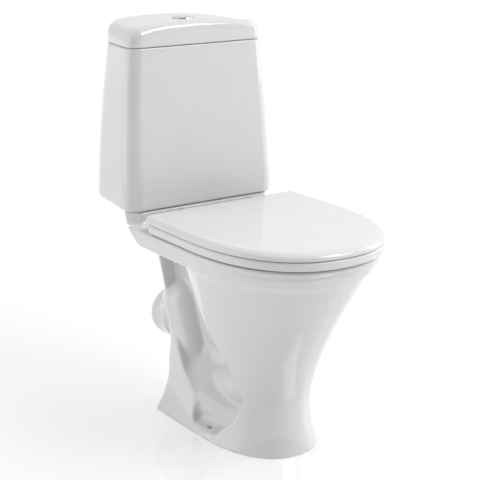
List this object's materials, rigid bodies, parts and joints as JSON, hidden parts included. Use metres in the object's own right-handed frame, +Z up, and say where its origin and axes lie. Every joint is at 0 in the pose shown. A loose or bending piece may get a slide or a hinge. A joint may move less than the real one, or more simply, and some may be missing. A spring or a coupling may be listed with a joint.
{
  "type": "close coupled toilet",
  "caption": "Close coupled toilet with waisted white china pan, horizontal outlet, tapered cistern with domed lift-off lid, split dual flush button, hinged seat ring and lid.",
  "frame": {"origin": "on the floor, at the middle of the whole toilet's outline", "axes": "+Z up, +Y towards the wall behind the cistern, +X to the right of a person who faces the wall"},
  "size_m": [0.3492, 0.63, 0.7802],
  "materials": {
    "china": "fired white glaze, high gloss",
    "seat": "polished white duroplast",
    "chrome": "bright chrome plate",
    "black_rubber": "moulded rubber",
    "clear_rubber": "translucent soft buffers",
    "white_plastic": "moulded polypropylene",
    "blue_plastic": "moulded polypropylene",
    "steel": "stainless"
  },
  "bodies": {
    "pan_and_cistern": {"pan": "china", "cistern": "china", "hinge_post_right": "chrome", "hinge_post_left": "chrome", "hinge_pin_right": "steel", "hinge_pin_left": "steel", "seat_bolts": "steel", "seat_washers": "black_rubber", "seat_nuts": "white_plastic", "valve_gasket": "black_rubber", "flush_valve_body": "white_plastic", "flush_valve_cage": "white_plastic", "valve_backnut": "white_plastic", "coupling_gasket": "black_rubber", "cistern_bolt_washers": "black_rubber", "cistern_bolts": "steel", "cistern_wing_nuts": "steel", "filler_washer": "black_rubber", "filler_shank": "white_plastic", "filler_backnut": "white_plastic", "filler_head": "white_plastic", "filler_arm_pin": "steel"},
    "ring": {"seat_ring": "seat", "ring_buffers": "clear_rubber"},
    "cover": {"seat_lid": "seat", "lid_buffers": "clear_rubber"},
    "tank_lid": {"cistern_lid": "china", "button_bezel": "chrome", "button_collar_nut": "white_plastic", "full_button_spring": "steel", "half_button_spring": "steel"},
    "full_button": {"button_full": "chrome", "full_flush_rod": "white_plastic"},
    "half_button": {"button_half": "chrome", "half_flush_rod": "white_plastic"},
    "flush_plunger": {"overflow_tube": "blue_plastic", "flush_valve_seal": "black_rubber"},
    "float": {"filler_float": "white_plastic", "filler_link": "steel"},
    "float_arm": {"filler_arm": "blue_plastic"}
  },
  "joints": [
    {"name": "seat_ring_hinge", "type": "hinge", "parent": "pan_and_cistern", "child": "ring", "pos_m": [0, 0.1, 0.419], "axis": [-1, 0, 0], "range_deg": [0, 92]},
    {"name": "seat_lid_hinge", "type": "hinge", "parent": "ring", "child": "cover", "pos_m": [0, 0.1, 0.419], "axis": [1, 0, 0], "range_deg": [-94, 0]},
    {"name": "cistern_lid_lift", "type": "slide", "parent": "pan_and_cistern", "child": "tank_lid", "axis": [0, 0, 1], "range_m": [0, 0.12]},
    {"name": "full_flush_press", "type": "slide", "parent": "tank_lid", "child": "full_button", "axis": [0, 0, -1], "range_m": [0, 0.006], "stiffness_N_per_m": 400, "springref_m": -0.006, "deforming": ["full_button_spring"]},
    {"name": "half_flush_press", "type": "slide", "parent": "tank_lid", "child": "half_button", "axis": [0, 0, -1], "range_m": [0, 0.006], "stiffness_N_per_m": 400, "springref_m": -0.006, "deforming": ["half_button_spring"]},
    {"name": "flush_valve_lift", "type": "slide", "parent": "pan_and_cistern", "child": "flush_plunger", "axis": [0, 0, 1], "range_m": [0, 0.018]},
    {"name": "float_rise", "type": "slide", "parent": "pan_and_cistern", "child": "float", "axis": [0, 0, 1], "range_m": [0, 0.008]},
    {"name": "float_arm_tilt", "type": "hinge", "parent": "pan_and_cistern", "child": "float_arm", "pos_m": [0.104, 0.251, 0.671], "axis": [0, 1, 0], "range_deg": [0, 20]}
  ],
  "couplings": [
    {"joint": "flush_valve_lift", "follows": "full_flush_press", "ratio": 3},
    {"joint": "float_arm_tilt", "follows": "float_rise", "rad_per_m": 41.667}
  ]
}
